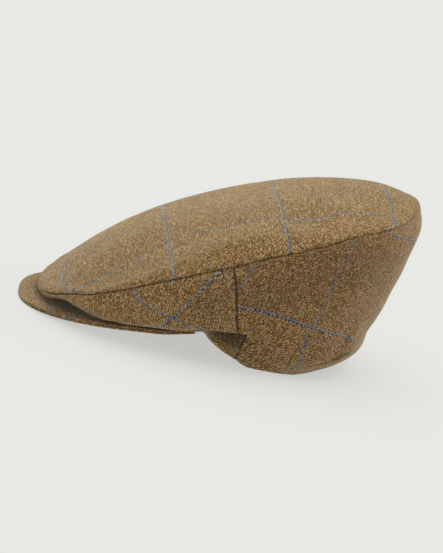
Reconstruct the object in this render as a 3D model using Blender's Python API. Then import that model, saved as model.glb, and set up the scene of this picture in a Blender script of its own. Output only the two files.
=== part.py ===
"""Flat cap: one-piece crown, side panels, rear panel and stiff peak, resting on its rim and the tip of its peak.

The cap is drawn level, as it is worn (millimetres, front toward -Y, wearer's left toward +X), as plan
rings with a height for each station round the head.  It is then tipped forward to the attitude in
which it stands by itself, and pressed flat where it touches the ground.
"""
import bpy
import numpy as np
from math import radians

MM = 0.001

# ------------------------------------------------------------------ driving dimensions (mm, degrees)
WALL = 1.5            # cloth and interlining together
GAP = 0.32            # clearance between neighbouring pieces
RING_CENTRE_Y = -3.0  # centre of all plan rings
DOME_RISE = 26.5      # crown above its edge seam
DOME_RISE_ALONG = (1.0, -0.03, 0.125, -0.077)   # how the rise varies per 100 mm of length
DOME_FULLNESS = 2.64  # exponent across the dome, larger is flatter on top
DOME_SHOULDER = 1.12  # exponent at the shoulder
DOME_BLEND = 3.6      # how late the dome takes up the seam's own height
SHOULDER_SWELL = 0.012
FULL_TURN = 5.5       # how much fuller the lower rear turn is than the hollow under the fold
PEAK_THICK = 3.2
PEAK_HALF_WIDTH = 92.0
PEAK_REACH = 136.2    # from the ring centre to the tip
PEAK_ROUNDNESS = 2.7
PEAK_CORNER = 78.0    # angle from the front at which the peak ends
TONGUE_ANGLE = 16.0   # half angle of the crown's front tongue
SIDE_SEAM_ANGLE = 94.0
REST_TIP = 13.5      # forward tip at rest
REST_PRESS = 1.5      # how far the touching cloth is pressed flat

# plan rings: half width, front reach, back reach, front exponent, back exponent
RINGS = {
    "edge":  (107.8, 122.0, 139.4, 2.30, 2.20),   # crown seam
    "bulge": (109.0, 122.9, 141.1, 2.30, 2.20),
    "mid":   (107.2, 122.6, 130.5, 2.28, 2.30),
    "fold":  (102.0, 121.0, 110.0, 2.20, 2.30),   # lower turn of the side
    "tuck":  (91.0, 107.0, 105.3, 2.10, 2.20),    # under the fold
    "rim":   (83.0, 91.0, 102.5, 2.00, 2.10),     # head opening
}
# heights by angle from the front (degrees)
#   angle  edge   fold   tuck   rim
HEIGHTS = np.array([
    (0,   -20.4, -25.4, -25.4, -26.5),
    (16,  -20.8, -25.5, -25.6, -26.5),
    (29,  -17.5, -23.3, -26.0, -26.8),
    (36,  -15.0, -25.2, -28.0, -27.5),
    (43,  -12.4, -28.8, -30.0, -28.5),
    (50,   -9.3, -31.4, -31.5, -29.7),
    (57,   -6.0, -33.2, -32.9, -31.0),
    (70,    0.6, -33.5, -35.2, -34.0),
    (80,    5.4, -33.0, -36.5, -38.0),
    (84,    7.2, -32.8, -37.6, -43.1),
    (88,    8.4, -32.8, -38.8, -48.9),
    (94,    9.9, -33.8, -41.2, -55.0),
    (101,  12.7, -37.2, -45.5, -62.2),
    (107,  15.2, -42.3, -51.0, -66.6),
    (115,  17.6, -46.5, -57.5, -69.6),
    (125,  20.6, -48.5, -59.5, -70.8),
    (137,  24.0, -48.0, -60.0, -69.9),
    (150,  25.6, -46.0, -58.0, -67.8),
    (160,  28.2, -44.5, -55.5, -65.6),
    (168,  31.3, -43.6, -54.0, -63.7),
    (180,  32.0, -43.0, -53.0, -62.0),
])
EDGE, FOLD, TUCK, RIM = 1, 2, 3, 4
BETWEEN = {"bulge": 0.15, "mid": 0.50}            # share of the way from edge to fold
DOME_BASE = (9.4, 0.2079, -0.000431, 0.00000068)   # seam height along the length, smoothed under the dome

ANGLES = (0, 5.5, 11, 16, 21, 25, 29, 32.5, 36, 39.5, 43, 46.5, 50, 54, 58, 63, 68, 73, 77, 79.5,
          81.7, 84, 87, 90.5, 94, 97.5, 101, 104, 107, 111, 115, 120, 126, 132, 138, 144, 150, 156, 163, 171)
DOME_ROWS = (0.18, 0.36, 0.52, 0.66, 0.78, 0.87, 0.93, 0.97, 1.0)
SIDE_ROWS = (0.5, 1.0, 1.6, 2.3, 3.0, 3.35, 3.7, 4.0, 4.5, 5.0)
PEAK_ANGLES = (0, 7, 14, 21, 27, 33, 38, 43, 48, 53, 58, 63, 68, 73, 78)
PEAK_ROWS = (0.0, 0.35, 0.7, 0.93, 1.0)

CLOTH = {  # name: (colour, roughness)
    "crown_top": ((0.300, 0.210, 0.122, 1.0), 0.92),
    "side_front_left": ((0.250, 0.172, 0.098, 1.0), 0.92),
    "side_front_right": ((0.250, 0.172, 0.098, 1.0), 0.92),
    "rear_panel": ((0.240, 0.165, 0.094, 1.0), 0.92),
    "peak": ((0.225, 0.152, 0.086, 1.0), 0.90),
}


# ------------------------------------------------------------------ small tools
def smooth_step(x, a, b):
    t = np.clip((x - a) / (b - a), 0.0, 1.0)
    return t * t * (3.0 - 2.0 * t)


def smooth_table(x, xs, ys):
    """Shape-keeping cubic through a table column."""
    h = np.diff(xs)
    d = np.diff(ys) / h
    m = np.zeros(len(ys))
    for i in range(1, len(xs) - 1):
        if d[i - 1] * d[i] > 0:
            w1, w2 = 2 * h[i] + h[i - 1], h[i] + 2 * h[i - 1]
            m[i] = (w1 + w2) / (w1 / d[i - 1] + w2 / d[i])
    k = np.clip(np.searchsorted(xs, x, side="right") - 1, 0, len(xs) - 2)
    t = (x - xs[k]) / h[k]
    return (ys[k] * (2 * t ** 3 - 3 * t ** 2 + 1) + h[k] * m[k] * (t ** 3 - 2 * t ** 2 + t)
            + ys[k + 1] * (3 * t ** 2 - 2 * t ** 3) + h[k] * m[k + 1] * (t ** 3 - t ** 2))


def height(column, angle):
    return smooth_table(np.abs(np.degrees(angle)), HEIGHTS[:, 0], HEIGHTS[:, column])


def reach(name, angle):
    half, front, back, nf, nb = RINGS[name]
    s, c = np.abs(np.sin(angle)), np.cos(angle)
    length = np.where(c > 0, front, back)
    n = np.where(c > 0, nf, nb)
    return ((s / half) ** n + (np.abs(c) / length) ** n) ** (-1.0 / n)


def peak_under(x, y):
    """Height of the peak's underside: arched across, falling a little to the back and at its corners."""
    return (-28.8 - 4.4 * np.abs(x / PEAK_HALF_WIDTH) ** 3 - 0.059 * (y + 125.0)
            - 1.4 * smooth_step(y, -60.0, -14.0))


def ring(name, angle):
    r = reach(name, angle)
    if name == "tuck":
        # behind the side seam the hollow under the fold runs out into a full, smooth turn
        a = np.abs(np.degrees(angle))
        r = r + FULL_TURN * (smooth_step(a, 97.0, 116.0) - smooth_step(a, 138.0, 162.0))
    x, y = r * np.sin(angle), RING_CENTRE_Y - r * np.cos(angle)
    if name in BETWEEN:
        e, f = height(EDGE, angle), height(FOLD, angle)
        z = e + (f - e) * BETWEEN[name]
    else:
        z = height({"edge": EDGE, "fold": FOLD, "tuck": TUCK, "rim": RIM}[name], angle)
    if name in ("tuck", "rim"):
        # ahead of the temples the turned-under cloth lies on the peak
        lift = peak_under(x, y) + PEAK_THICK + 0.5
        w = smooth_step(np.abs(np.degrees(angle)), 79.0, 84.0)
        z = (1 - w) * (lift if name == "rim" else np.maximum(z, lift)) + w * z
    return np.stack([x, y, z], -1)


def dome(angle, rho):
    edge = ring("edge", angle)
    x = edge[:, 0] * rho
    y = RING_CENTRE_Y + (edge[:, 1] - RING_CENTRE_Y) * rho
    b = DOME_BASE
    base = b[0] + b[1] * y + b[2] * y ** 2 + b[3] * y ** 3
    base = base * (1 - rho ** DOME_BLEND) + edge[:, 2] * rho ** DOME_BLEND
    t = y / 100.0
    rise = DOME_RISE * sum(k * t ** i for i, k in enumerate(DOME_RISE_ALONG))
    z = base + rise * max(1 - rho ** DOME_FULLNESS, 0.0) ** (1 / DOME_SHOULDER)
    swell = 1 + SHOULDER_SWELL * np.exp(-((rho - 0.965) / 0.03) ** 2)
    return np.stack([x * swell, RING_CENTRE_Y + (y - RING_CENTRE_Y) * swell, z], -1)


def wall(rings, t):
    """Point row at parameter t along the smooth curve through the six rings."""
    k = min(int(t), len(rings) - 2)
    f = t - k
    p1, p2 = rings[k], rings[k + 1]
    p0 = rings[k - 1] if k > 0 else 2 * p1 - p2
    p3 = rings[k + 2] if k + 2 < len(rings) else 2 * p2 - p1
    d0, d1, d2 = (np.linalg.norm(q, axis=-1, keepdims=True) + 1e-9 for q in (p1 - p0, p2 - p1, p3 - p2))
    m1 = ((p1 - p0) / d0 * d1 + (p2 - p1) / d1 * d0) / (d0 + d1) * d1
    m2 = ((p2 - p1) / d1 * d2 + (p3 - p2) / d2 * d1) / (d1 + d2) * d1
    return (p1 * (2 * f ** 3 - 3 * f ** 2 + 1) + m1 * (f ** 3 - 2 * f ** 2 + f)
            + p2 * (3 * f ** 2 - 2 * f ** 3) + m2 * (f ** 3 - f ** 2))


TIP_COS, TIP_SIN = np.cos(radians(REST_TIP)), np.sin(radians(REST_TIP))


def tip(p):
    """Worn attitude to resting attitude: turn about X so the front goes down."""
    p = np.asarray(p, float)
    return np.stack([p[..., 0], p[..., 1] * TIP_COS - p[..., 2] * TIP_SIN,
                     p[..., 1] * TIP_SIN + p[..., 2] * TIP_COS], -1)


def unit(v):
    return v / (np.linalg.norm(v, axis=-1, keepdims=True) + 1e-12)


# ------------------------------------------------------------------ the cloth shell
half = list(ANGLES)
columns = np.radians(np.array(half + [180] + [360 - a for a in half[:0:-1]], float))
signed = (columns + np.pi) % (2 * np.pi) - np.pi
signed[np.isclose(columns, np.pi)] = np.pi
degrees = np.degrees(signed)
rings = [ring(n, signed) for n in ("edge", "bulge", "mid", "fold", "tuck", "rim")]
outer = np.array([dome(signed, rho) for rho in DOME_ROWS] + [wall(rings, t) for t in SIDE_ROWS])
apex = dome(np.array([0.0]), 0.0)[0]
under = outer[len(DOME_ROWS) + 4:]                # rows from the fold inward ride clear over the peak
floor = peak_under(under[..., 0], under[..., 1]) + PEAK_THICK + 0.55
floor = floor - 60.0 * smooth_step(np.abs(degrees), 79.0, 84.0)
under[..., 2] = np.maximum(under[..., 2], floor)
EDGE_ROW = len(DOME_ROWS) - 1
LAST_ROW = outer.shape[0] - 1

along = unit(np.roll(outer, -1, axis=1) - outer) + unit(outer - np.roll(outer, 1, axis=1))
down = np.empty_like(outer)
down[1:-1] = unit(outer[2:] - outer[1:-1]) + unit(outer[1:-1] - outer[:-2])
down[0] = unit(outer[1] - outer[0]) + unit(outer[0] - apex)
down[-1] = outer[-1] - outer[-2]
normal = unit(np.cross(down, along))
inner = outer - normal * WALL
for _ in range(4):                                # ease the lining side of the tight front nose and fold
    eased = inner.copy()
    eased[1:-1] = 0.25 * inner[:-2] + 0.5 * inner[1:-1] + 0.25 * inner[2:]
    share = (1 - smooth_step(np.abs(degrees), 45.0, 62.0))[None, :, None]
    band = slice(EDGE_ROW - 1, EDGE_ROW + 7)
    inner[band] = inner[band] + (eased[band] - inner[band]) * share


def cells_where(test):
    """Grid cells (row, column) of the shell whose place passes the test; row -1 is the apex fan."""
    n = len(columns)
    found = []
    for j in range(-1, LAST_ROW):
        for i in range(n):
            a, b = degrees[i], degrees[(i + 1) % n]
            middle = 180.0 if abs(b - a) > 180 else 0.5 * (a + b)
            if abs(b - a) > 180 and a < 179.99:
                middle = 0.5 * (a + b + 360) if b < 0 else middle
            if test(j, abs(middle), middle):
                found.append((j, i))
    return found


def panel_mesh(cells):
    """Closed solid over a set of shell cells, drawn back by half the gap along its outline."""
    n = len(columns)
    faces = []
    for j, i in cells:
        k = (i + 1) % n
        faces.append((("apex",), (0, i), (0, k)) if j < 0 else ((j, i), (j + 1, i), (j + 1, k), (j, k)))
    used = sorted({v for f in faces for v in f}, key=lambda v: (len(v), v))
    out = {v: (apex if v == ("apex",) else outer[v]) for v in used}
    inn = {v: (apex - np.array([0, 0, WALL]) if v == ("apex",) else inner[v]) for v in used}
    nrm = {v: unit(out[v] - inn[v]) for v in used}
    edges = {}
    for f in faces:
        for a, b in zip(f, f[1:] + f[:1]):
            edges[(a, b)] = f
    rim_edges = [(a, b) for (a, b) in edges if (b, a) not in edges]
    pulls = {}
    for a, b in rim_edges:
        f = edges[(a, b)]
        centre = sum(out[v] for v in f) / len(f)
        line = unit(out[b] - out[a])
        for v in (a, b):
            side = np.cross(nrm[v], line)
            side = unit(side) * np.sign(side @ (centre - 0.5 * (out[a] + out[b])))
            pulls.setdefault(v, []).append(side)
    for v, sides in pulls.items():
        s = sides[0] if len(sides) < 2 else (sides[0] + sides[1]) / (1 + max(sides[0] @ sides[1], -0.5))
        out[v] = out[v] + s * GAP / 2
        inn[v] = inn[v] + s * GAP / 2
    index = {v: m for m, v in enumerate(used)}
    count = len(used)
    points = [out[v] for v in used] + [inn[v] for v in used]
    polys = [tuple(index[v] for v in f) for f in faces]
    polys += [tuple(index[v] + count for v in reversed(f)) for f in faces]
    polys += [(index[b], index[a], index[a] + count, index[b] + count) for a, b in rim_edges]
    return np.array(points), polys


# ------------------------------------------------------------------ the peak
def peak_mesh():
    angles = np.radians(np.array([-a for a in PEAK_ANGLES[:0:-1]] + list(PEAK_ANGLES), float))
    s, c = np.abs(np.sin(angles)), np.abs(np.cos(angles))
    far = ((s / PEAK_HALF_WIDTH) ** PEAK_ROUNDNESS + (c / PEAK_REACH) ** PEAK_ROUNDNESS) ** (-1 / PEAK_ROUNDNESS)
    near = reach("rim", angles)
    w = smooth_step(np.abs(np.degrees(angles)), 64.0, 84.0)
    far = far * (1 - w) + (near + 1.0) * w

    def row(r, lift):
        x, y = r * np.sin(angles), RING_CENTRE_Y - r * np.cos(angles)
        return np.stack([x, y, peak_under(x, y) + lift], -1)

    top = [row(near + (far - 0.9 - near) * t, PEAK_THICK) for t in PEAK_ROWS]
    nose = [row(far, PEAK_THICK * 0.68), row(far, PEAK_THICK * 0.32)]
    low = [row(near + (far - 0.9 - near) * t, 0.0) for t in PEAK_ROWS[::-1]]
    loop = np.array(top + nose + low)
    rows, cols = loop.shape[:2]
    polys = []
    for j in range(rows):
        for i in range(cols - 1):
            k = (j + 1) % rows
            polys.append((j * cols + i, k * cols + i, k * cols + i + 1, j * cols + i + 1))
    for i in (0, cols - 1):
        m = len(PEAK_ROWS)
        strips = [(a, rows - 1 - a, rows - 2 - a, a + 1) for a in range(m - 1)]
        strips.append((m - 1, m + 2, m + 1, m))
        for q in strips:
            polys.append(tuple(v * cols + i for v in (q if i == 0 else q[::-1])))
    return loop.reshape(-1, 3), polys


# ------------------------------------------------------------------ build
for old in list(bpy.data.objects):
    bpy.data.objects.remove(old, do_unlink=True)

PIECES = {
    "crown_top": panel_mesh(cells_where(lambda j, a, m: j < EDGE_ROW or a < TONGUE_ANGLE)),
    "side_front_left": panel_mesh(cells_where(
        lambda j, a, m: j >= EDGE_ROW and TONGUE_ANGLE < a < SIDE_SEAM_ANGLE and m > 0)),
    "side_front_right": panel_mesh(cells_where(
        lambda j, a, m: j >= EDGE_ROW and TONGUE_ANGLE < a < SIDE_SEAM_ANGLE and m < 0)),
    "rear_panel": panel_mesh(cells_where(lambda j, a, m: j >= EDGE_ROW and a > SIDE_SEAM_ANGLE)),
    "peak": peak_mesh(),
}
placed = {name: (tip(points), polys) for name, (points, polys) in PIECES.items()}
everything = np.concatenate([p for p, _ in placed.values()])
ground = everything[:, 2].min() + REST_PRESS
middle_y = 0.5 * (everything[:, 1].min() + everything[:, 1].max())

for name, (points, polys) in placed.items():
    points = points - np.array([0.0, middle_y, ground])
    points[:, 2] = np.maximum(points[:, 2], 0.0)
    points *= MM
    origin = np.round(0.5 * (points.min(0) + points.max(0)), 4)
    mesh = bpy.data.meshes.new(name)
    mesh.from_pydata([tuple(p) for p in points - origin], [], polys)
    mesh.validate()
    mesh.update()
    mesh.shade_smooth()
    obj = bpy.data.objects.new(name, mesh)
    obj.location = origin
    bpy.context.scene.collection.objects.link(obj)
    colour, rough = CLOTH[name]
    material = bpy.data.materials.new(name + "_cloth")
    material.use_nodes = True
    shader = material.node_tree.nodes["Principled BSDF"]
    shader.inputs["Base Color"].default_value = colour
    shader.inputs["Roughness"].default_value = rough
    shader.inputs["Metallic"].default_value = 0.0
    mesh.materials.append(material)
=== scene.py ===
"""Looks of the flat cap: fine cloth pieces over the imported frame, woven twill with a windowpane check, studio light."""

import bpy
import numpy as np
from math import radians
from mathutils import Matrix, Vector


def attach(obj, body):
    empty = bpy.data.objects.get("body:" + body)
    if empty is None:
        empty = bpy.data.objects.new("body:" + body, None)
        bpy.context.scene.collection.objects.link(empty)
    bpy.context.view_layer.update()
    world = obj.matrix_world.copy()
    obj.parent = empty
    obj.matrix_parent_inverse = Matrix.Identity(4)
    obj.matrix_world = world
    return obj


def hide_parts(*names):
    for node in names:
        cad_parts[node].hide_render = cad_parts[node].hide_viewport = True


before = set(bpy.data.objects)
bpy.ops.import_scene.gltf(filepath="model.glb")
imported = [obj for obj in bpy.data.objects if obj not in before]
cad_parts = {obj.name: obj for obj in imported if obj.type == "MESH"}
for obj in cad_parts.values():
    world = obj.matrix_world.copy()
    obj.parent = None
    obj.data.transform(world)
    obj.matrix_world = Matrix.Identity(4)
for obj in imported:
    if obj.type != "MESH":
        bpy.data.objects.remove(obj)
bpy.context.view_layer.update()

MM = 0.001

# ------------------------------------------------------------------ the cap's own dimensions (mm, degrees)
WALL = 1.5
GAP = 0.12                 # what shows of the clearance in a sewn seam
RING_CENTRE_Y = -3.0
DOME_RISE = 26.5
DOME_RISE_ALONG = (1.0, -0.03, 0.125, -0.077)
DOME_FULLNESS = 2.64
DOME_SHOULDER = 1.12
DOME_BLEND = 3.6
SHOULDER_SWELL = 0.012
FULL_TURN = 5.5
PEAK_THICK = 3.2
PEAK_HALF_WIDTH = 92.0
PEAK_REACH = 136.2
PEAK_ROUNDNESS = 2.7
PEAK_CORNER = 78.0
TONGUE_ANGLE = 16.0
SIDE_SEAM_ANGLE = 94.0
REST_TIP = 13.5
MIDDLE_Y = 0.05304         # the resting cap is centred by this shift
GROUND = -58.45720         # and lowered by this one

# plan rings: half width, front reach, back reach, front exponent, back exponent
RINGS = {
    "edge":  (107.8, 122.0, 139.4, 2.30, 2.20),
    "bulge": (109.0, 122.9, 141.1, 2.30, 2.20),
    "mid":   (107.2, 122.6, 130.5, 2.28, 2.30),
    "fold":  (102.0, 121.0, 110.0, 2.20, 2.30),
    "tuck":  (91.0, 107.0, 105.3, 2.10, 2.20),
    "rim":   (83.0, 91.0, 102.5, 2.00, 2.10),
}
#   angle  edge   fold   tuck   rim
HEIGHTS = np.array([
    (0,   -20.4, -25.4, -25.4, -26.5),
    (16,  -20.8, -25.5, -25.6, -26.5),
    (29,  -17.5, -23.3, -26.0, -26.8),
    (36,  -15.0, -25.2, -28.0, -27.5),
    (43,  -13.3, -28.8, -30.0, -28.5),
    (50,  -10.1, -31.4, -31.5, -29.7),
    (57,   -6.6, -33.2, -32.9, -31.0),
    (70,   -0.2, -33.5, -35.2, -34.0),
    (80,    4.2, -33.0, -36.5, -38.0),
    (84,    6.0, -32.8, -37.6, -43.1),
    (88,    7.5, -32.8, -38.8, -48.9),
    (94,    9.6, -33.8, -41.2, -55.0),
    (101,  12.7, -37.2, -45.5, -62.2),
    (107,  15.2, -42.3, -51.0, -66.6),
    (115,  17.6, -46.5, -57.5, -69.6),
    (125,  20.9, -48.5, -59.5, -70.8),
    (137,  24.9, -48.0, -60.0, -69.9),
    (150,  25.6, -46.0, -58.0, -67.8),
    (160,  28.2, -44.5, -55.5, -65.6),
    (168,  31.9, -43.6, -54.0, -63.7),
    (180,  32.8, -43.0, -53.0, -62.0),
])
EDGE, FOLD, TUCK, RIM = 1, 2, 3, 4
BETWEEN = {"bulge": 0.15, "mid": 0.50}
DOME_BASE = (9.4, 0.2079, -0.000431, 0.00000068)
CAD_DOME_ROWS = (0.18, 0.36, 0.52, 0.66, 0.78, 0.87, 0.93, 0.97, 1.0)
CAD_SIDE_ROWS = (0.5, 1.0, 1.6, 2.3, 3.0, 3.35, 3.7, 4.0, 4.5, 5.0)

# ------------------------------------------------------------------ the cloth
YARN = 0.70                # mm from one yarn to the next
CHECK_U = 78               # yarns from one check line to the next, across
CHECK_V = 109              # and along


# ------------------------------------------------------------------ small tools
def smooth_step(x, a, b):
    t = np.clip((x - a) / (b - a), 0.0, 1.0)
    return t * t * (3.0 - 2.0 * t)


def smooth_table(x, xs, ys):
    """Shape-keeping cubic through a table column."""
    xs, ys = np.asarray(xs, float), np.asarray(ys, float)
    h = np.diff(xs)
    d = np.diff(ys) / h
    m = np.zeros(len(ys))
    for i in range(1, len(xs) - 1):
        if d[i - 1] * d[i] > 0:
            w1, w2 = 2 * h[i] + h[i - 1], h[i] + 2 * h[i - 1]
            m[i] = (w1 + w2) / (w1 / d[i - 1] + w2 / d[i])
    k = np.clip(np.searchsorted(xs, x, side="right") - 1, 0, len(xs) - 2)
    t = (x - xs[k]) / h[k]
    return (ys[k] * (2 * t ** 3 - 3 * t ** 2 + 1) + h[k] * m[k] * (t ** 3 - 2 * t ** 2 + t)
            + ys[k + 1] * (3 * t ** 2 - 2 * t ** 3) + h[k] * m[k + 1] * (t ** 3 - t ** 2))


def height(column, angle):
    return smooth_table(np.abs(np.degrees(angle)), HEIGHTS[:, 0], HEIGHTS[:, column])


def reach(name, angle):
    half, front, back, nf, nb = RINGS[name]
    s, c = np.abs(np.sin(angle)), np.cos(angle)
    length = np.where(c > 0, front, back)
    n = np.where(c > 0, nf, nb)
    return ((s / half) ** n + (np.abs(c) / length) ** n) ** (-1.0 / n)


def peak_under(x, y):
    return (-28.8 - 4.4 * np.abs(x / PEAK_HALF_WIDTH) ** 3 - 0.059 * (y + 125.0)
            - 1.4 * smooth_step(y, -60.0, -14.0))


def ring(name, angle):
    r = reach(name, angle)
    if name == "tuck":
        a = np.abs(np.degrees(angle))
        r = r + FULL_TURN * (smooth_step(a, 97.0, 116.0) - smooth_step(a, 138.0, 162.0))
    x, y = r * np.sin(angle), RING_CENTRE_Y - r * np.cos(angle)
    if name in BETWEEN:
        e, f = height(EDGE, angle), height(FOLD, angle)
        z = e + (f - e) * BETWEEN[name]
    else:
        z = height({"edge": EDGE, "fold": FOLD, "tuck": TUCK, "rim": RIM}[name], angle)
    if name in ("tuck", "rim"):
        lift = peak_under(x, y) + PEAK_THICK + 0.5
        w = smooth_step(np.abs(np.degrees(angle)), 79.0, 84.0)
        z = (1 - w) * (lift if name == "rim" else np.maximum(z, lift)) + w * z
    return np.stack([x, y, z], -1)


def dome(angle, rho):
    edge = ring("edge", angle)
    x = edge[:, 0] * rho
    y = RING_CENTRE_Y + (edge[:, 1] - RING_CENTRE_Y) * rho
    b = DOME_BASE
    base = b[0] + b[1] * y + b[2] * y ** 2 + b[3] * y ** 3
    base = base * (1 - rho ** DOME_BLEND) + edge[:, 2] * rho ** DOME_BLEND
    t = y / 100.0
    rise = DOME_RISE * sum(k * t ** i for i, k in enumerate(DOME_RISE_ALONG))
    z = base + rise * max(1 - rho ** DOME_FULLNESS, 0.0) ** (1 / DOME_SHOULDER)
    swell = 1 + SHOULDER_SWELL * np.exp(-((rho - 0.965) / 0.03) ** 2)
    return np.stack([x * swell, RING_CENTRE_Y + (y - RING_CENTRE_Y) * swell, z], -1)


def hermite(points, f, k):
    """Smooth curve through rows of points, share f of the way from row k to row k + 1."""
    p1, p2 = points[k], points[k + 1]
    p0 = points[k - 1] if k > 0 else 2 * p1 - p2
    p3 = points[k + 2] if k + 2 < len(points) else 2 * p2 - p1
    d0, d1, d2 = (np.linalg.norm(q, axis=-1, keepdims=True) + 1e-9 for q in (p1 - p0, p2 - p1, p3 - p2))
    m1 = ((p1 - p0) / d0 * d1 + (p2 - p1) / d1 * d0) / (d0 + d1) * d1
    m2 = ((p2 - p1) / d1 * d2 + (p3 - p2) / d2 * d1) / (d1 + d2) * d1
    return (p1 * (2 * f ** 3 - 3 * f ** 2 + 1) + m1 * (f ** 3 - 2 * f ** 2 + f)
            + p2 * (3 * f ** 2 - 2 * f ** 3) + m2 * (f ** 3 - f ** 2))


def wall(rings, t):
    k = min(int(t), len(rings) - 2)
    return hermite(rings, t - k, k)


def unit(v):
    return v / (np.linalg.norm(v, axis=-1, keepdims=True) + 1e-12)


TIP_COS, TIP_SIN = np.cos(radians(REST_TIP)), np.sin(radians(REST_TIP))


def tip(p):
    """Worn attitude to resting attitude."""
    p = np.asarray(p, float)
    return np.stack([p[..., 0], p[..., 1] * TIP_COS - p[..., 2] * TIP_SIN,
                     p[..., 1] * TIP_SIN + p[..., 2] * TIP_COS], -1)


def spread(a, b, count, tight=()):
    """count + 1 stations from a to b, closer together round each (place, how much, how wide)."""
    x = np.linspace(a, b, 4001)
    density = np.ones_like(x)
    for place, more, wide in tight:
        density += more * np.exp(-((x - place) / wide) ** 2)
    total = np.concatenate([[0], np.cumsum(0.5 * (density[1:] + density[:-1]))])
    return np.interp(np.linspace(0, total[-1], count + 1), total, x)


def ripple(a, b, seed, waves, count=9):
    """Gentle, seeded unevenness over two lengths (mm), about -1 to 1."""
    rng = np.random.default_rng(seed)
    out = 0
    for _ in range(count):
        length = rng.uniform(*waves)
        turn, phase = rng.uniform(0, 2 * np.pi, 2)
        out = out + np.sin(2 * np.pi * (a * np.cos(turn) + b * np.sin(turn)) / length + phase)
    return out / count ** 0.5 / 1.3


# ------------------------------------------------------------------ the shell, finely
half = np.concatenate([spread(0, TONGUE_ANGLE, 28, [(TONGUE_ANGLE, 3, 1.5)])[:-1],
                       spread(TONGUE_ANGLE, SIDE_SEAM_ANGLE, 112,
                              [(TONGUE_ANGLE, 3, 1.5), (SIDE_SEAM_ANGLE, 4, 1.6)])[:-1],
                       spread(SIDE_SEAM_ANGLE, 180, 108, [(SIDE_SEAM_ANGLE, 4, 1.6)])[:-1]])
TONGUE_COL = 28
SEAM_COL = 28 + 112
BACK_COL = len(half)
columns = np.radians(np.concatenate([half, [180.0], 360.0 - half[:0:-1]]))
signed = (columns + np.pi) % (2 * np.pi) - np.pi
signed[BACK_COL] = np.pi
COLS = len(signed)
dome_rows = spread(0, 1, 60, [(1.0, 3.5, 0.045)])[1:]
side_rows = spread(0, 5, 112, [(0, 3.5, 0.10), (3.4, 0.9, 0.7), (5, 1.0, 0.2)])[1:]
EDGE_ROW = len(dome_rows) - 1

RING_NAMES = ("edge", "bulge", "mid", "fold", "tuck", "rim")
#            down the wall (edge 0 ... rim 5), degrees that the side seam stands behind its own angle
SEAM_PATH = np.array([(0.0, -0.5), (1.0, 0.0), (2.0, 0.5), (2.9, 1.2), (3.3, 4.0), (3.7, 5.0), (4.2, 4.2), (5.0, 2.5)])


def leant(angle, t):
    """Angles moved so that the side seam follows its own slant."""
    shift = np.radians(smooth_table(np.array([min(max(t, 0.001), 4.999)]), SEAM_PATH[:, 0], SEAM_PATH[:, 1])[0])
    share = np.exp(-((np.abs(np.degrees(angle)) - SIDE_SEAM_ANGLE) / 15.0) ** 2)
    return angle + np.sign(angle) * shift * share


def shell(rows_dome, rows_side, angle):
    rows = [dome(angle, rho) if rho < 0.8 else dome(leant(angle, 0.0) * (rho - 0.8) / 0.2 + angle * (1 - (rho - 0.8) / 0.2), rho)
            for rho in rows_dome]
    rows += [wall([ring(n, leant(angle, t)) for n in RING_NAMES], t) for t in rows_side]
    grid = np.array(rows)
    turned = np.array([False] * len(rows_dome) + [t > 2.999 for t in rows_side])
    under = grid[turned]
    floor = peak_under(under[..., 0], under[..., 1]) + PEAK_THICK + 0.55
    floor = floor - 60.0 * smooth_step(np.abs(np.degrees(angle)), 79.0, 84.0)
    under[..., 2] = np.maximum(under[..., 2], floor)
    grid[turned] = under
    return grid


def normals_of(grid, top):
    along = unit(np.roll(grid, -1, axis=1) - grid) + unit(grid - np.roll(grid, 1, axis=1))
    down = np.empty_like(grid)
    down[1:-1] = unit(grid[2:] - grid[1:-1]) + unit(grid[1:-1] - grid[:-2])
    down[0] = unit(grid[1] - grid[0]) + unit(grid[0] - top)
    down[-1] = grid[-1] - grid[-2]
    return unit(np.cross(down, along)), unit(down)


degrees = np.abs(np.degrees(signed))
apex = dome(np.array([0.0]), 0.0)[0]
outer = shell(dome_rows, side_rows, signed)
normal, down = normals_of(outer, apex)

# inner side: drawn on the frame's own rows, then run smoothly through the fine ones
coarse = shell(CAD_DOME_ROWS, CAD_SIDE_ROWS, signed)
coarse_normal, _ = normals_of(coarse, apex)
lining = coarse - coarse_normal * WALL
edge_coarse = len(CAD_DOME_ROWS) - 1
for _ in range(4):
    eased = lining.copy()
    eased[1:-1] = 0.25 * lining[:-2] + 0.5 * lining[1:-1] + 0.25 * lining[2:]
    share = (1 - smooth_step(degrees, 45.0, 62.0))[None, :, None]
    band = slice(edge_coarse - 1, edge_coarse + 7)
    lining[band] = lining[band] + (eased[band] - lining[band]) * share
knots = np.array([0.0] + list(CAD_DOME_ROWS) + [1 + t for t in CAD_SIDE_ROWS])
stations = np.concatenate([dome_rows, 1 + side_rows])
lining = np.concatenate([np.broadcast_to(apex - np.array([0, 0, WALL]), (1, COLS, 3)), lining])
inner = np.empty_like(outer)
for j, q in enumerate(stations):
    k = min(int(np.searchsorted(knots, q, side="right")) - 1, len(knots) - 2)
    inner[j] = hermite(lining, (q - knots[k]) / (knots[k + 1] - knots[k]), k)

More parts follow.
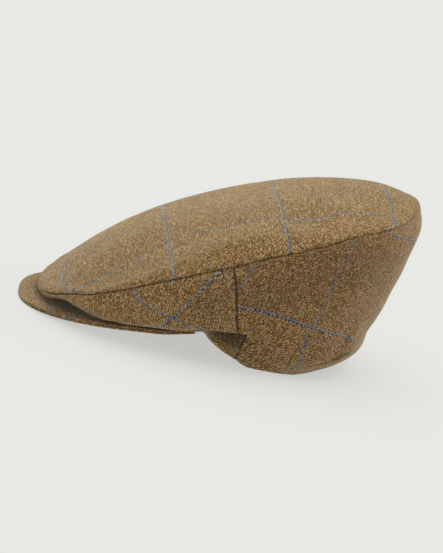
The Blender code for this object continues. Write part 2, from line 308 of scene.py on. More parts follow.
# ------------------------------------------------------------------ lengths on the cloth
steps = np.linalg.norm(np.diff(np.concatenate([np.broadcast_to(apex, (1, COLS, 3)), outer]), axis=0), axis=-1)
S = np.cumsum(steps, axis=0)                    # from the middle of the crown, down each column
s = S - S[EDGE_ROW]                             # from the crown seam, positive downward
fine = np.radians(np.linspace(0, 180, 3601))
mid = ring("mid", fine)
mid_run = np.concatenate([[0], np.cumsum(np.linalg.norm(np.diff(mid, axis=0), axis=-1))])
HALF_ROUND = mid_run[-1]
h = np.interp(degrees, np.linspace(0, 180, 3601), mid_run)     # round the wall from the front
h_round = np.where(signed >= 0, h, 2 * HALF_ROUND - h)         # the same, on past the back
radius = np.linalg.norm(outer[..., :2] - np.array([0, RING_CENTRE_Y]), axis=-1)
to_tongue = (degrees - TONGUE_ANGLE) * np.pi / 180 * radius
to_side_seam = (degrees - SIDE_SEAM_ANGLE) * np.pi / 180 * radius

# ------------------------------------------------------------------ seams, rolls, folds
row_is_dome = (np.arange(len(stations)) <= EDGE_ROW)[:, None]
in_tongue = (degrees < TONGUE_ANGLE - 1e-6)[None, :]
far = np.full_like(s, 99.0)
d_edge = np.abs(s)
d_corner = np.hypot(s, to_tongue)
seam = np.where(row_is_dome, np.where(in_tongue, d_corner, d_edge),
                np.where(in_tongue, np.abs(to_tongue),
                         np.minimum(np.minimum(d_edge, np.abs(to_tongue)), np.abs(to_side_seam))))
station = stations[:, None] - 1 + 0 * s          # down the wall: edge 0, fold 3, tuck 4, rim 5
per_t = np.gradient(s, axis=0) / np.gradient(station, axis=0)
near_left = np.where(signed > 0, 1.0, 0.0)[None, :]
a0, b0 = S * np.sin(signed), -S * np.cos(signed)
aa = np.abs(a0)


def table(x, rows):
    rows = np.asarray(rows, float)
    return smooth_table(np.clip(x, rows[0, 0] + 1e-6, rows[-1, 0] - 1e-6), rows[:, 0], rows[:, 1])


def swelling(p, q, p0, q0, rp, rq):
    return np.exp(-((p - p0) / rp) ** 2 - ((q - q0) / rq) ** 2)


# broad form of the cloth (mm, outward), the same on its inner side
crown = -2.2 * swelling(aa, b0, 72, -70, 24, 38)
crown = crown - (0.8 + 1.2 * near_left) * swelling(aa, b0, 72, 56, 18, 18)
crown = crown + 1.5 * swelling(aa, b0, 60, 100, 22, 20)
across = (a0 - 71) * 0.643 - (b0 - 32) * 0.766          # a soft diagonal fold from the crown to the seam
run = (a0 - 71) * 0.766 + (b0 - 32) * 0.643
crown = crown + 0.9 * np.exp(-(across / 5.0) ** 2) * smooth_step(run, -4, 8) * (1 - smooth_step(run, 30, 44)) * near_left
crown = crown + 1.6 * swelling(a0, b0, 94, 52, 12, 17)
crown = crown * smooth_step(-s, 0.0, 10.0)
ridge_at = table(h, [(40, -2), (111, -4.5), (133, -8), (149, -10.5), (167, -14.6), (185, -18.5), (202, -19), (218, -17), (236, -11), (255, -6), (378, -6)])
ridge_up = table(h, [(40, 0), (100, 0.0), (133, 1.8), (167, 3.2), (190, 3.9), (208, 3.8), (222, 2.6), (238, 0.8), (252, 0), (378, 0)])
ridge_up = ridge_up * (0.6 + 0.4 * near_left[0])
climb = s / ridge_at                                     # 0 at the seam, 1 along the ridge
fall = 1 - (climb - 1) * np.abs(ridge_at) / 24
crown = crown + ridge_up * np.maximum(-np.logaddexp(-28 * np.maximum(climb, 0), -28 * fall) / 28, 0)
crown = crown - 1.0 * np.exp(-((s + 6) / 4.5) ** 2) * smooth_step(h, 300, 350)

lip_share = (smooth_step(degrees, 81, 87) * (1 - smooth_step(h, 203, 228)))[None, :]
lip_at = table(h, [(0, 2.97), (150, 2.97), (195, 3.0), (200, 3.08), (208, 3.2), (215, 3.32), (223, 3.45), (378, 3.45)])[None, :]
beyond = station - lip_at
side = lip_share * 0.9 * np.exp(-((beyond + 0.06) / 0.10) ** 2)
side = side - lip_share * (3.0 + 3.0 * (1 - smooth_step(degrees, 93, 103))[None, :]) * smooth_step(beyond, 0.03, 0.40) * (1 - smooth_step(beyond, 0.55, 1.55))
hem_at = table(degrees, [(70, 4.3), (85.6, 4.43), (90, 4.75), (98.5, 4.8), (104.5, 4.65), (115, 4.4), (123, 4.23), (131.6, 4.13), (140, 3.85), (150, 3.9), (165, 4.1), (180, 4.15)])
hem_up = table(degrees, [(70, 0), (79, 0), (85, 0.9), (98, 0.9), (105, 0.45), (113, 0.15), (119, 0.25), (126, 0.9), (140, 0.9), (148, 0.5), (160, 0.35), (180, 0.35)])
from_hem = (station - hem_at) * per_t
side = side + hem_up * (0.55 * np.exp(-((from_hem - 4.2) / 2.4) ** 2) + 0.30 * np.exp(-((from_hem + 4.0) / 3.0) ** 2))
side = side - 1.3 * swelling(h_round, s, 280, 74, 8, 9) - 0.9 * swelling(h_round, s, 262, 26, 10, 16)
side = side - 0.8 * swelling(h, s, 179, 22, 14, 9) + 0.6 * swelling(h_round, s, 292, 66, 8, 14)
side = side + 0.5 * ripple(h_round + 0 * s, s, 31, (28, 60)) * smooth_step(s, 2, 14) * (1 - smooth_step(station, 4.0, 4.8))
side = side * np.where(np.abs(signed) < radians(79), 1 - smooth_step(station, 2.4, 3.0), 1.0) * smooth_step(s, 0, 5)
broad = np.where(row_is_dome, crown, np.where(in_tongue, 0.0, side))

# seams and small unevenness, on the face only
lips = 1 + 0.28 * ripple(h[None, :] + 0 * s, s, 3, (9, 22))
shown = 0.25 + 0.75 * smooth_step(degrees, 17, 27)[None, :]
shown = shown * (1 - 0.75 * near_left * np.exp(-((h[None, :] - 236) / 3.5) ** 2) * np.exp(-(s / 2.0) ** 2))
fine_lift = -1.3 * np.exp(-(seam / 0.62) ** 2) * lips * shown
pucker = table(h, [(0, 0.12), (90, 0.12), (120, 0.05), (222, 0.05), (232, 0.45), (262, 0.30), (300, 0.12), (378, 0.05)])[None, :]
fine_lift = fine_lift + pucker * np.exp(-((seam - 2.4) / 1.3) ** 2) * np.where(row_is_dome, 1.0, 0.6) * lips
fine_lift = fine_lift + 0.16 * ripple(a0, b0, 11, (30, 70)) + 0.08 * ripple(a0, b0, 17, (11, 24))
fine_lift = fine_lift - 0.75 * hem_up * np.exp(-(from_hem / 1.3) ** 2) * (~row_is_dome)
quiet = np.where(row_is_dome, 1.0, 1.0 - 0.5 * smooth_step(station, 3.2, 4.2))
quiet = np.where(np.abs(signed)[None, :] < radians(79), np.where(row_is_dome, 1.0, 1.0 - 0.9 * smooth_step(station, 2.6, 3.4)), quiet)
outer = outer + normal * (broad + fine_lift * quiet)[..., None]
inner = inner + normal * broad[..., None]
# the side's lower edge stands a little off the peak
stand = table(degrees, [(0, 0), (14, 0), (20, 0.9), (26, 1.6), (31, 1.9), (34, 1.3), (37.5, 0.4), (42, 0.2), (47, 0.6), (52, 1.6), (62, 1.6), (70, 0.8), (77, 0), (180, 0)])
stand = stand[None, :] * smooth_step(station, 1.6, 2.9) * (1 - smooth_step(station, 3.2, 4.3))
outer[..., 2] = outer[..., 2] + stand
inner[..., 2] = inner[..., 2] + stand

# the rim's turned edge: half a round from the outer side to the inner side
last_out, last_in = outer[-1], inner[-1]
centre = 0.5 * (last_out + last_in)
radial = 0.5 * (last_out - last_in)
size = np.linalg.norm(radial, axis=-1, keepdims=True)
ahead = unit(down[-1] - unit(radial) * np.sum(down[-1] * unit(radial), -1, keepdims=True))
turn_out = [centre + radial * np.cos(f) + ahead * size * np.sin(f) for f in np.radians((30, 58, 82))]
turn_in = [centre + radial * np.cos(f) + ahead * size * np.sin(f) for f in np.radians((150, 122, 98))]
outer = np.concatenate([outer, turn_out])
inner = np.concatenate([inner, turn_in])
S = np.concatenate([S, [S[-1] + 0.5 * k for k in (1, 2, 3)]])
s = np.concatenate([s, [s[-1] + 0.5 * k for k in (1, 2, 3)]])
seam = np.concatenate([seam, [seam[-1]] * 3])
LAST_ROW = len(outer) - 1
# painted shade laid on the cloth's colour: the dark corner under the fold's lip and just past the side seam, a band
# above the hem on the near rear, broad darker patches on the side and rear walls, and a darker patch on the crown's
# front
painted_pocket_shade = 0.90 * smooth_step(degrees, 71, 82)[None, :] * (1 - smooth_step(degrees, 92, 111))[None, :]
painted_pocket_end = 1.85 - 1.20 * smooth_step(degrees, 90, 99)[None, :]
painted_pocket_shade = painted_pocket_shade * smooth_step(beyond, 0.0, 0.12) * (1 - smooth_step(beyond, painted_pocket_end - 0.8, painted_pocket_end + 0.2))
past_seam = (smooth_step(degrees, 90, 95) * (1 - smooth_step(degrees, 98, 112)))[None, :]
painted_pocket_shade = np.maximum(painted_pocket_shade, 0.80 * past_seam * smooth_step(beyond, 0.0, 0.12) * (1 - smooth_step(beyond, 0.25, 0.75)))
painted_pocket_shade = painted_pocket_shade + 0.50 * near_left * smooth_step(h, 262, 282)[None, :] * (1 - smooth_step(h, 322, 340))[None, :] * np.exp(-((from_hem - 0.8) / 3.0) ** 2)
painted_pocket_shade = painted_pocket_shade + (0.24 * swelling(h_round, s[:-3], 256, 22, 44, 20) + 0.25 * swelling(h, s[:-3], 174, 22, 15, 14)
                   + 0.16 * swelling(h_round, s[:-3], 209, 26, 14, 14)) * (~row_is_dome)
painted_pocket_shade = painted_pocket_shade + 0.15 * swelling(h, s[:-3], 84, -20, 34, 20) * row_is_dome
painted_pocket_shade = np.concatenate([painted_pocket_shade, [painted_pocket_shade[-1]] * 3])

# ------------------------------------------------------------------ cloth coordinates (mm, a check line at 0)
theta = signed[None, :]
a, b = S * np.sin(theta), -S * np.cos(theta)
line_a = table(b, [(-160, 12), (-113, 13), (-98, 18.6), (-79, 19.7), (-58, 18.2), (-37, 21.6), (-20, 21.6), (-3, 21.6), (10, 18.6), (30, 18.6), (55, 13.5), (76, 15.5), (105, 16.5), (170, 16.5)])
line_b = table(b, [(-160, 78), (-106, 78.1), (-95, 76.2), (-81, 74.6), (-64, 75.0), (-51, 73.4), (-41, 70.0), (-32, 67.5), (-21, 65.6), (-6, 66.0), (7, 67.4), (21, 66.8), (39, 69), (58, 71.6), (75, 68.2), (94, 63.1), (108, 59.6), (125, 61.7), (170, 63)])
between = np.where(a > line_a, line_b - line_a, 52.7)
line_a = line_a + (15.5 - line_a) * smooth_step(line_a - a, 4.0, 46.0)
crown_u = (a - line_a) * CHECK_U * YARN / between
crown_u = crown_u - 0.14 * np.maximum(np.abs(crown_u) - CHECK_U * YARN, 0) * np.sign(crown_u)
crown_v = (b + 1.613 * (a / 100) - 4.862 * (a / 100) ** 2 - 0.868 * (a / 100) ** 2 * (b / 100) + 113.2) * (CHECK_V * YARN / 76.3)
crown_v = crown_v + 2.4 * np.exp(-((a - 42) / 20) ** 2 - ((b + 115) / 30) ** 2)

hh = h[None, :] - 150.5
ss = s - 27.2
side_u = hh * np.sin(radians(36)) - ss * np.cos(radians(36)) - 0.0099 * np.minimum(ss, 0) ** 2
side_v = hh * np.sin(radians(37)) + ss * np.cos(radians(37)) + 0.9 - 6.5 * smooth_step(-hh, 48, 82)
side_v = side_v - 4.0 * smooth_step(s, 1, 7) * smooth_step(-hh, 60, 78)
side_u = side_u - 1.5 * smooth_step(s, 12, 32)
beneath = np.concatenate([station, [station[-1]] * 3])
beneath = smooth_step(beneath, 3.0, 3.35) * smooth_step(h[None, :], 184, 194)
side_u = side_u * (1 - beneath) + 0.9 * (h[None, :] - 189.0) * beneath
side_u = np.where(signed[None, :] < 0, -side_u, side_u)

x = (h_round[None, :] - HALF_ROUND) / 100
y = s / 100
rear_u = 100 * (1.086 * x - 0.6051 * x * y + 0.5061 * x * y * y - 0.0439 * x ** 3 + 0.0919 * x ** 3 * y - 0.1593 * x ** 3 * y * y)
rear_u = rear_u + np.where(x < 0, 2.6 * np.exp(-((s - 57) / 7) ** 2) - 1.5 * smooth_step(s, 68, 78), 0.0)
rear_v = 100 * (y + 0.3724 * x * x - 0.0894 * x * x * y - 0.042 * x ** 4 - 0.0216 * y * y - 0.9627) * (CHECK_V * YARN / 75.6)

apex_uv = np.array([-19.0 * (CHECK_U * YARN / 52.7), 113.2 * (CHECK_V * YARN / 76.3)])


# ------------------------------------------------------------------ materials
class Tree:
    """Builds a node tree from sums written in Python."""

    def __init__(self, tree):
        self.tree = tree
        tree.nodes.clear()

    def node(self, kind, **settings):
        n = self.tree.nodes.new(kind)
        for key, value in settings.items():
            setattr(n, key, value)
        return n

    def feed(self, socket, value):
        if isinstance(value, Wire):
            self.tree.links.new(value.socket, socket)
        else:
            socket.default_value = value

    def math(self, operation, *values):
        n = self.node("ShaderNodeMath", operation=operation)
        for socket, value in zip(n.inputs, values):
            self.feed(socket, value)
        return Wire(self, n.outputs[0])

    def join(self, x, y, z=0.0):
        n = self.node("ShaderNodeCombineXYZ")
        for socket, value in zip(n.inputs, (x, y, z)):
            self.feed(socket, value)
        return Wire(self, n.outputs[0])

    def white(self, vector):
        n = self.node("ShaderNodeTexWhiteNoise", noise_dimensions="3D")
        self.feed(n.inputs["Vector"], vector)
        return Wire(self, n.outputs["Value"])

    def noise(self, vector, scale, detail=2.0, rough=0.5):
        n = self.node("ShaderNodeTexNoise", noise_dimensions="3D")
        self.feed(n.inputs["Vector"], vector)
        n.inputs["Scale"].default_value = scale
        n.inputs["Detail"].default_value = detail
        n.inputs["Roughness"].default_value = rough
        return Wire(self, n.outputs[0])

    def mix(self, share, one, two):
        n = self.node("ShaderNodeMix", data_type="RGBA")
        self.feed(n.inputs[0], share)
        self.feed(n.inputs[6], one)
        self.feed(n.inputs[7], two)
        return Wire(self, n.outputs[2])

    def blend(self, mode, share, one, two):
        n = self.node("ShaderNodeMix", data_type="RGBA", blend_type=mode)
        self.feed(n.inputs[0], share)
        self.feed(n.inputs[6], one)
        self.feed(n.inputs[7], two)
        return Wire(self, n.outputs[2])

    def choose(self, share, one, two):
        n = self.node("ShaderNodeMix", data_type="FLOAT")
        self.feed(n.inputs[0], share)
        self.feed(n.inputs[2], one)
        self.feed(n.inputs[3], two)
        return Wire(self, n.outputs[0])

    def ramp(self, value, stops, steps=True):
        n = self.node("ShaderNodeValToRGB")
        n.color_ramp.interpolation = "CONSTANT" if steps else "LINEAR"
        marks = n.color_ramp.elements
        while len(marks) > 1:
            marks.remove(marks[-1])
        marks[0].position, marks[0].color = stops[0][0], (*stops[0][1], 1)
        for place, colour in stops[1:]:
            mark = marks.new(place)
            mark.color = (*colour, 1)
        self.feed(n.inputs[0], value)
        return Wire(self, n.outputs[0])


class Wire:
    def __init__(self, maker, socket):
        self.maker, self.socket = maker, socket

    def __add__(self, other):
        return self.maker.math("ADD", self, other)

    def __sub__(self, other):
        return self.maker.math("SUBTRACT", self, other)

    def __mul__(self, other):
        return self.maker.math("MULTIPLY", self, other)

    def __truediv__(self, other):
        return self.maker.math("DIVIDE", self, other)

    def floor(self):
        return self.maker.math("FLOOR", self)

    def part(self):
        return self.maker.math("FRACT", self)

    def wrap(self, n):
        return self.maker.math("FLOORED_MODULO", self, n)

    def below(self, n):
        return self.maker.math("LESS_THAN", self, n)

    def above(self, n):
        return self.maker.math("GREATER_THAN", self, n)


WARP_TONES = [(0.00, (0.110, 0.066, 0.026)), (0.14, (0.185, 0.116, 0.046)), (0.28, (0.235, 0.172, 0.066)),
              (0.42, (0.310, 0.188, 0.076)), (0.57, (0.400, 0.202, 0.066)), (0.70, (0.430, 0.282, 0.130)),
              (0.85, (0.640, 0.458, 0.236))]
WEFT_TONES = [(0.00, (0.085, 0.050, 0.020)), (0.14, (0.145, 0.090, 0.036)), (0.28, (0.190, 0.138, 0.053)),
              (0.42, (0.260, 0.158, 0.064)), (0.57, (0.335, 0.168, 0.056)), (0.70, (0.370, 0.242, 0.112)),
              (0.85, (0.560, 0.400, 0.206))]


def stretched(tones, much):
    """The same mean colour with the single yarns further apart."""
    ends = [place for place, _ in tones[1:]] + [1.0]
    mean = sum(np.array(colour) * (end - place) for (place, colour), end in zip(tones, ends))
    return [(place, tuple(np.maximum(mean + (np.array(colour) - mean) * much, 0.006))) for place, colour in tones]


WARP_TONES, WEFT_TONES = stretched(WARP_TONES, 1.16), stretched(WEFT_TONES, 1.16)
PALE_BLUE = (0.125, 0.350, 0.620, 1)
MID_BLUE = (0.110, 0.300, 0.540, 1)
DEEP_BLUE = (0.018, 0.070, 0.210, 1)


def tweed(name, tint, slub=0.0, second=0.45, cover=0.0):
    """Two-and-two twill of mixed brown yarns with a two-yarn blue windowpane, from the cloth coordinates."""
    material = bpy.data.materials.new(name)
    material.use_nodes = True
    t = Tree(material.node_tree)
    uv = t.node("ShaderNodeUVMap", uv_map="fabric")
    place = Wire(t, uv.outputs[0])
    parts = t.node("ShaderNodeSeparateXYZ")
    t.feed(parts.inputs[0], place)
    wander = t.noise(place, 80.0, 1.0) - 0.5
    wander2 = t.noise(t.join(Wire(t, parts.outputs[1]), Wire(t, parts.outputs[0]), 0.3), 95.0, 1.0) - 0.5
    along_u = Wire(t, parts.outputs[0]) * (1000.0 / YARN) + wander * 0.7
    along_v = Wire(t, parts.outputs[1]) * (1000.0 / YARN) + wander2 * 0.7
    i, j = along_u.floor(), along_v.floor()
    fu, fv = along_u.part(), along_v.part()
    both = i + j
    k = both.wrap(4.0)
    warp_up = k.below(1.5)
    float_no = (both / 4.0).floor()
    yarn_no = t.choose(warp_up, j, i)
    across = t.choose(warp_up, fv, fu)
    along = t.choose(warp_up, (k - 2.0 + fu) / 2.0, (k + fv) / 2.0)
    round_across = t.math("MULTIPLY", across - 0.5, across - 0.5) * -4.0 + 1.0
    round_along = t.math("MULTIPLY", along - 0.5, along - 0.5) * -4.0 + 1.0

    bead = t.white(t.join(yarn_no, float_no, warp_up + 0.37))
    strand = t.white(t.join(yarn_no, warp_up * 7.0, 3.1))
    cell = t.white(t.join(i + 0.5, j + 0.5, 9.7))
    tone = (i * 0.7548777 + j * 0.5698403 + cell * 0.33 + bead * 0.16).part()
    tone = tone * 0.93 + strand * 0.07
    warp_colour = t.ramp(tone, WARP_TONES)
    weft_colour = t.ramp(tone, WEFT_TONES)
    ground = t.mix(warp_up, weft_colour, warp_colour)

    near_u = i.wrap(float(CHECK_U))
    near_v = j.wrap(float(CHECK_V))
    pale = near_v.below(0.5) * (warp_up * (cover - 1.0) + 1.0)
    lone = t.math("MAXIMUM", near_u.below(0.5), t.math("COMPARE", near_u, 1.0, 0.1) * second) * (warp_up * (1.0 - cover * 0.3) + cover * 0.3)
    deep = t.math("COMPARE", near_v, 1.0, 0.1) * (warp_up * -1.0 + 1.0)
    colour = t.mix(pale, ground, PALE_BLUE)
    colour = t.mix(deep, colour, DEEP_BLUE)
    colour = t.mix(lone, colour, t.mix(t.white(t.join(float_no, 4.4, 8.8)) * 0.75, MID_BLUE, DEEP_BLUE))

    # fibres, painted shade in the hollows between yarns, broad unevenness of the dye, and painted shade in the seams,
    # crevices and under the folds
    fibre = t.noise(t.join(Wire(t, parts.outputs[0]), Wire(t, parts.outputs[1]), 0.0), 2200.0, 3.0, 0.7)
    hollow = t.math("MULTIPLY", round_across, round_along * 0.35 + 0.65)
    shade = fibre * 1.30 + 0.35
    # painted shade: darker toward each yarn's edges, in the hollows between yarns
    shade = shade * (hollow * 0.34 + 0.80)
    broad = t.noise(place, 22.0, 3.0, 0.55) * 0.22 + 0.89
    patch = t.noise(place, 420.0, 2.0, 0.6) * 0.06 + 0.97
    shade = shade * broad * patch
    if slub:
        start = t.white(t.join(j, 1.7, 0.6)) * 5.0
        length = ((i + start) / 5.0).floor()
        dash = (length * 0.7548777 + j * 0.5698403 + t.white(t.join(length, j, 2.2)) * 0.30).part()
        level = t.node("ShaderNodeAttribute", attribute_name="flat_share")
        shade = shade * ((dash - 0.5) * slub * Wire(t, level.outputs["Fac"]) + 1.0)
    # painted shade, read from a per-point attribute: up to 80 % darker in the seam grooves, under the fold, along the
    # peak's crevice and over broad patches of the walls and crown
    painted_shade_attr = t.node("ShaderNodeAttribute", attribute_name="painted_shade")
    shade = shade * (Wire(t, painted_shade_attr.outputs["Fac"]) * -0.80 + 1.0)
    grey = t.node("ShaderNodeCombineColor")
    for n, share in enumerate(tint):
        t.feed(grey.inputs[n], shade * share)
    colour = t.blend("MULTIPLY", 1.0, colour, Wire(t, grey.outputs[0]))

    shader = t.node("ShaderNodeBsdfPrincipled")
    t.feed(shader.inputs["Base Color"], colour)
    t.feed(shader.inputs["Roughness"], fibre * 0.20 + 0.78)
    shader.inputs["Specular IOR Level"].default_value = 0.22
    shader.inputs["Sheen Weight"].default_value = 0.55
    shader.inputs["Sheen Roughness"].default_value = 0.38
    shader.inputs["Sheen Tint"].default_value = (0.95, 0.80, 0.55, 1)
    relief = hollow * 0.8 + fibre * 0.5
    bump = t.node("ShaderNodeBump")
    bump.inputs["Strength"].default_value = 0.7
    bump.inputs["Distance"].default_value = 0.00022
    t.feed(bump.inputs["Height"], relief)
    t.feed(shader.inputs["Normal"], Wire(t, bump.outputs[0]))
    out = t.node("ShaderNodeOutputMaterial")
    t.tree.links.new(shader.outputs[0], out.inputs[0])
    return material


# ------------------------------------------------------------------ pieces
def make_piece(name, points, polys, uv, painted_shade, material, node, slot, flat=None):
    points = tip(points) - np.array([0.0, MIDDLE_Y, GROUND])
    points[:, 2] = np.maximum(points[:, 2], 0.0)
    points = points * MM
    mesh = bpy.data.meshes.new(name)
    mesh.from_pydata(points.tolist(), [], polys)
    mesh.update()
    layer = mesh.uv_layers.new(name="fabric")
    corner = np.empty(len(mesh.loops), np.int32)
    mesh.loops.foreach_get("vertex_index", corner)
    layer.data.foreach_set("uv", (uv[corner] * MM).astype(np.float32).ravel())
    if flat is not None:
        share = mesh.attributes.new("flat_share", "FLOAT", "POINT")
        share.data.foreach_set("value", flat.astype(np.float32))
    # painted shade per point, read by the cloth shader
    mark = mesh.attributes.new("painted_shade", "FLOAT", "POINT")
    mark.data.foreach_set("value", painted_shade.astype(np.float32))
    mesh.shade_smooth()
    mesh.set_sharp_from_angle(angle=radians(55))
    mesh.materials.append(material)
    obj = bpy.data.objects.new(name, mesh)
    bpy.context.scene.collection.objects.link(obj)
    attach(obj, "root")
    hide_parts(node)
    return obj


def panel(cells, u, v):
    """Closed cloth panel over shell cells (row, column); row -1 is the fan at the middle of the crown."""
    flat = lambda j, i: 1 + j * COLS + i
    faces = []
    for j, i in cells:
        k = (i + 1) % COLS
        faces.append((0, flat(0, i), flat(0, k)) if j < 0 else (flat(j, i), flat(j + 1, i), flat(j + 1, k), flat(j, k)))
    used = np.unique(np.concatenate([np.array(f) for f in faces]))
    where = {int(v_): n for n, v_ in enumerate(used)}
    all_out = np.concatenate([[apex], outer.reshape(-1, 3)])
    all_in = np.concatenate([[apex - np.array([0, 0, WALL])], inner.reshape(-1, 3)])
    out, inn = all_out[used].copy(), all_in[used].copy()
    nrm = unit(out - inn)
    uvs = np.concatenate([[apex_uv], np.stack([u, v], -1).reshape(-1, 2)])[used]
    # painted shade per point: darker along the seam grooves, plus the painted pocket shade; none on the inner side
    depth = np.concatenate([[0.0], (np.exp(-(seam / 0.62) ** 2) * np.concatenate([shown + 0 * s[:-3]] + [shown[-1:] + 0 * s[:1]] * 3) + painted_pocket_shade).clip(0, 1).reshape(-1)])[used]
    faces = [tuple(where[q] for q in f) for f in faces]
    edges = {}
    for f in faces:
        for p, q in zip(f, f[1:] + f[:1]):
            edges[(p, q)] = f
    rim = [(p, q) for (p, q) in edges if (q, p) not in edges]
    pulls = {}
    for p, q in rim:
        mid_face = sum(out[v_] for v_ in edges[(p, q)]) / len(edges[(p, q)])
        line = unit(out[q] - out[p])
        for v_ in (p, q):
            side = unit(np.cross(nrm[v_], line))
            side = side * np.sign(side @ (mid_face - 0.5 * (out[p] + out[q])))
            pulls.setdefault(v_, []).append(side)
    for v_, sides in pulls.items():
        g = sides[0] if len(sides) < 2 else (sides[0] + sides[1]) / (1 + max(sides[0] @ sides[1], -0.5))
        out[v_] = out[v_] + g * GAP / 2
        inn[v_] = inn[v_] + g * GAP / 2
    count = len(used)
    polys = faces + [tuple(v_ + count for v_ in reversed(f)) for f in faces]
    polys += [(q, p, p + count, q + count) for p, q in rim]
    flat = 0.25 + 0.75 * np.maximum(smooth_step(-s, 6, 38), 1 - smooth_step(degrees, 15, 55)[None, :])
    flat = np.concatenate([[1.0], flat.reshape(-1)])[used]
    return (np.concatenate([out, inn]), polys, np.concatenate([uvs, uvs]),
            np.concatenate([depth, depth * 0]), np.concatenate([flat, flat]))


left = range(TONGUE_COL, SEAM_COL)
right = range(COLS - SEAM_COL, COLS - TONGUE_COL)
back = range(SEAM_COL, COLS - SEAM_COL)
tongue = list(range(0, TONGUE_COL)) + list(range(COLS - TONGUE_COL, COLS))
crown_cells = [(j, i) for j in range(-1, EDGE_ROW) for i in range(COLS)]
crown_cells += [(j, i) for j in range(EDGE_ROW, LAST_ROW) for i in tongue]
wall_cells = lambda cols: [(j, i) for j in range(EDGE_ROW, LAST_ROW) for i in cols]

crown_cloth = tweed("crown_tweed", (0.880, 0.843, 0.762), slub=1.20, second=1.0, cover=0.32)
side_cloth = tweed("side_tweed", (0.895, 0.865, 0.840))
# the rear panel's darker tint is painted shade: the same cloth made darker where this wall stands in shade
rear_cloth = tweed("rear_tweed_shaded", (0.800, 0.740, 0.690))
peak_cloth = tweed("peak_tweed", (0.860, 0.830, 0.800), slub=0.95, second=1.0, cover=0.45)

def cloth_piece(name, cells, u, v, material, node, slot):
    points, polys, uv, depth, flat = panel(cells, u, v)
    return make_piece(name, points, polys, uv, depth, material, node, slot, flat)


cloth_piece("crown_top_cloth", crown_cells, crown_u, crown_v, crown_cloth, "crown_top", "crown_cloth")
cloth_piece("side_front_left_cloth", wall_cells(left), side_u, side_v, side_cloth, "side_front_left", "side_cloth")
cloth_piece("side_front_right_cloth", wall_cells(right), side_u, side_v, side_cloth, "side_front_right", "side_cloth")
cloth_piece("rear_panel_cloth", wall_cells(back), rear_u, rear_v, rear_cloth, "rear_panel", "rear_cloth")


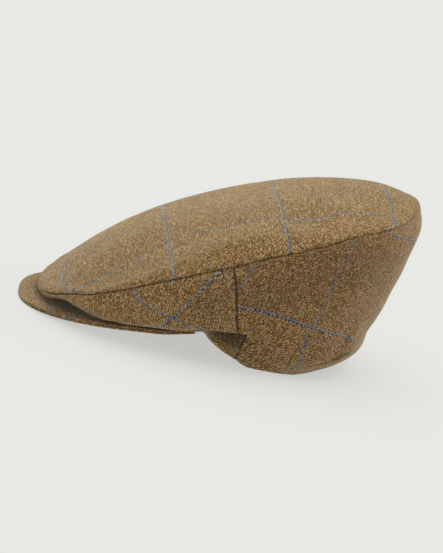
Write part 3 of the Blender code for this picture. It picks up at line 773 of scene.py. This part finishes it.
def peak_piece():
    """Stiffened peak: cloth over and under, turned and seamed round its edge."""
    angles = np.radians(spread(-PEAK_CORNER, PEAK_CORNER, 200, [(-PEAK_CORNER, 1.5, 6), (PEAK_CORNER, 1.5, 6)]))
    sn, cs = np.abs(np.sin(angles)), np.abs(np.cos(angles))
    edge = ((sn / PEAK_HALF_WIDTH) ** PEAK_ROUNDNESS + (cs / PEAK_REACH) ** PEAK_ROUNDNESS) ** (-1 / PEAK_ROUNDNESS)
    near = reach("rim", angles)
    w = smooth_step(np.abs(np.degrees(angles)), 64.0, 84.0)
    edge = edge * (1 - w) + (near + 1.0) * w

    def row(r, rise):
        px, py = r * np.sin(angles), RING_CENTRE_Y - r * np.cos(angles)
        return np.stack([px, py, peak_under(px, py) + rise - 0.45 * smooth_step(np.abs(px), 45.0, 80.0)], -1)

    share = spread(0, 1, 44, [(1, 3, 0.06)])
    body = edge - 1.35 - near
    top, low = [], []
    for q in share:
        inward = (1 - q) * body
        puff = 0.22 * np.exp(-((inward - 4.5) / 3.0) ** 2) - 0.10 * np.exp(-((inward - 1.2) / 1.0) ** 2)
        puff = puff + 0.12 * ripple(near + q * body, np.degrees(angles) * 2.0, 23, (25, 60))
        wide = np.minimum(1.0, np.maximum(body, 0) / 6)
        top.append(row(near + body * q, PEAK_THICK + np.minimum(puff * wide, 0.28)))
        low.append(row(near + body * q, -0.05 * np.exp(-((inward - 1.0) / 0.8) ** 2) * wide))
    nose = []
    for f in np.radians((70, 50, 32, 16, 6, 0, -6, -16, -32, -50, -70)):
        crease = 0.42 * np.exp(-(np.degrees(f) / 7.0) ** 2)
        nose.append(row(edge - 1.35 + (1.35 - crease) * np.cos(f), PEAK_THICK * 0.5 * (1 + np.sin(f))))
    loop = np.array(top + nose + low[::-1])
    rows, cols = loop.shape[:2]
    polys = []
    for j in range(rows):
        k = (j + 1) % rows
        for i in range(cols - 1):
            polys.append((j * cols + i, k * cols + i, k * cols + i + 1, j * cols + i + 1))
    for i in (0, cols - 1):
        ends = tuple(j * cols + i for j in range(rows))
        m = len(share)
        strips = [(p, rows - 1 - p, rows - 2 - p, p + 1) for p in range((rows - 1) // 2)]
        for q in strips:
            if len(set(q)) == 4:
                polys.append(tuple(v_ * cols + i for v_ in (q if i == 0 else q[::-1])))
            else:
                three = [v_ for n_, v_ in enumerate(q) if v_ not in q[:n_]]
                if len(three) == 3:
                    three = three if i == 0 else three[::-1]
                    polys.append(tuple(v_ * cols + i for v_ in three))
    px, py = loop[..., 0], loop[..., 1]
    run = np.concatenate([np.zeros((1, cols)), np.cumsum(np.linalg.norm(np.diff(loop, axis=0), axis=-1), axis=0)])
    m = len(share)
    over = np.clip(run - run[m - 1], 0, None)
    back_in = np.clip((run - run[m + 10]) / 8.0, 0, 1)
    over = np.where(np.arange(rows)[:, None] < m + 11, over, (over[m + 10]) * (1 - back_in) ** 2)
    out_x, out_y = np.sin(angles)[None, :] * over, np.cos(angles)[None, :] * over
    u = (px + 1.1 * (px / 70) ** 3 - 15.5) * (CHECK_U * YARN / 60.5) + out_x
    v = -(py + 115.0) + out_y
    out_of_fold = np.hypot(px, py - RING_CENTRE_Y) - reach("fold", np.broadcast_to(angles, px.shape).ravel()).reshape(px.shape)
    wide_angle = np.abs(np.degrees(angles))[None, :]
    # painted shade on the peak's top where the side's lower edge overhangs it, and along the crease of the seam round
    # the peak's edge
    depth = (0.30 + 0.58 * smooth_step(wide_angle, 12, 30)) * (1 - smooth_step(out_of_fold, -1.5, 5.0))
    depth = np.where(np.arange(rows)[:, None] < len(share), depth, 0.0)
    first = len(share)
    for n, f in enumerate((70, 50, 32, 16, 6, 0, -6, -16, -32, -50, -70)):
        depth[first + n] = np.maximum(depth[first + n], np.exp(-(f / 7.0) ** 2))
    return (loop.reshape(-1, 3), polys, np.stack([u, v], -1).reshape(-1, 2), depth.reshape(-1))


peak_parts = peak_piece()
make_piece("peak_cloth", *peak_parts, peak_cloth, "peak", "peak_cloth", np.ones(len(peak_parts[0])))

# ------------------------------------------------------------------ floor, camera, light
floor_mesh = bpy.data.meshes.new("floor")
floor_mesh.from_pydata([(-60, -60, 0), (60, -60, 0), (60, 60, 0), (-60, 60, 0)], [], [(0, 1, 2, 3)])
floor_obj = bpy.data.objects.new("floor", floor_mesh)
bpy.context.scene.collection.objects.link(floor_obj)
floor_mat = bpy.data.materials.new("floor")
floor_mat.use_nodes = True
floor_shader = floor_mat.node_tree.nodes["Principled BSDF"]
floor_shader.inputs["Base Color"].default_value = (0.234, 0.233, 0.228, 1)
floor_shader.inputs["Emission Color"].default_value = (1.000, 1.000, 0.962, 1)
floor_shader.inputs["Emission Strength"].default_value = 0.52
floor_shader.inputs["Roughness"].default_value = 1.0
floor_shader.inputs["Specular IOR Level"].default_value = 0.0
floor_mesh.materials.append(floor_mat)

PIXELS_PER_MM, DISTANCE = 1.45, 1500.0
az, el = radians(87.3), radians(12.15)
d = np.array([np.sin(az) * np.cos(el), -np.cos(az) * np.cos(el), np.sin(el)])
r = np.cross(-d, [0, 0, 1.0])
r = r / np.linalg.norm(r)
u_ = np.cross(r, -d)
eye = DISTANCE * d - ((220.4 - 221.5) / PIXELS_PER_MM) * r - ((276.5 - 248.8) / PIXELS_PER_MM) * u_
eye = (tip(eye) - np.array([0, MIDDLE_Y, GROUND])) * MM
right_, up_, back_ = tip(r), tip(u_), tip(d)
cam = bpy.data.cameras.new("camera")
cam.sensor_fit = "AUTO"
cam.sensor_width = 36.0
cam.lens = DISTANCE * PIXELS_PER_MM * 36.0 / 553.0
cam.clip_start, cam.clip_end = 0.05, 200.0
cam_obj = bpy.data.objects.new("camera", cam)
cam_obj.matrix_world = Matrix(((right_[0], up_[0], back_[0], eye[0]), (right_[1], up_[1], back_[1], eye[1]),
                               (right_[2], up_[2], back_[2], eye[2]), (0, 0, 0, 1)))
bpy.context.scene.collection.objects.link(cam_obj)
bpy.context.scene.camera = cam_obj

world = bpy.data.worlds.new("studio")
bpy.context.scene.world = world
world.use_nodes = True
w = Tree(world.node_tree)
coords = w.node("ShaderNodeTexCoord")
axes = w.node("ShaderNodeSeparateXYZ")
w.feed(axes.inputs[0], Wire(w, coords.outputs["Generated"]))
wx, wy, wz = (Wire(w, axes.outputs[n]) for n in range(3))
up_ = w.math("MAXIMUM", wz, 0.0)
behind = w.math("MAXIMUM", wx * -1.0, 0.0)
rear_end = w.math("POWER", w.math("MAXIMUM", wy, 0.0), 2.0)
near_front = w.math("POWER", w.math("MAXIMUM", wx * 0.5 - wy * 0.87, 0.0), 3.0) * w.math("POWER", up_ * -1.0 + 1.0, 2.0)
tilted = w.math("POWER", w.math("MAXIMUM", wz * 0.93 + wy * 0.30 - wx * 0.20, 0.0), 3.0)
glow = tilted * 2.95 + behind * 0.20 + rear_end * 0.40 + near_front * 2.20
background = w.node("ShaderNodeBackground")
background.inputs["Color"].default_value = (1.0, 0.995, 0.985, 1)
w.feed(background.inputs["Strength"], glow)
world_out = w.node("ShaderNodeOutputWorld")
w.tree.links.new(background.outputs[0], world_out.inputs[0])

bpy.context.scene.view_settings.view_transform = "Standard"
bpy.context.scene.view_settings.look = "None"
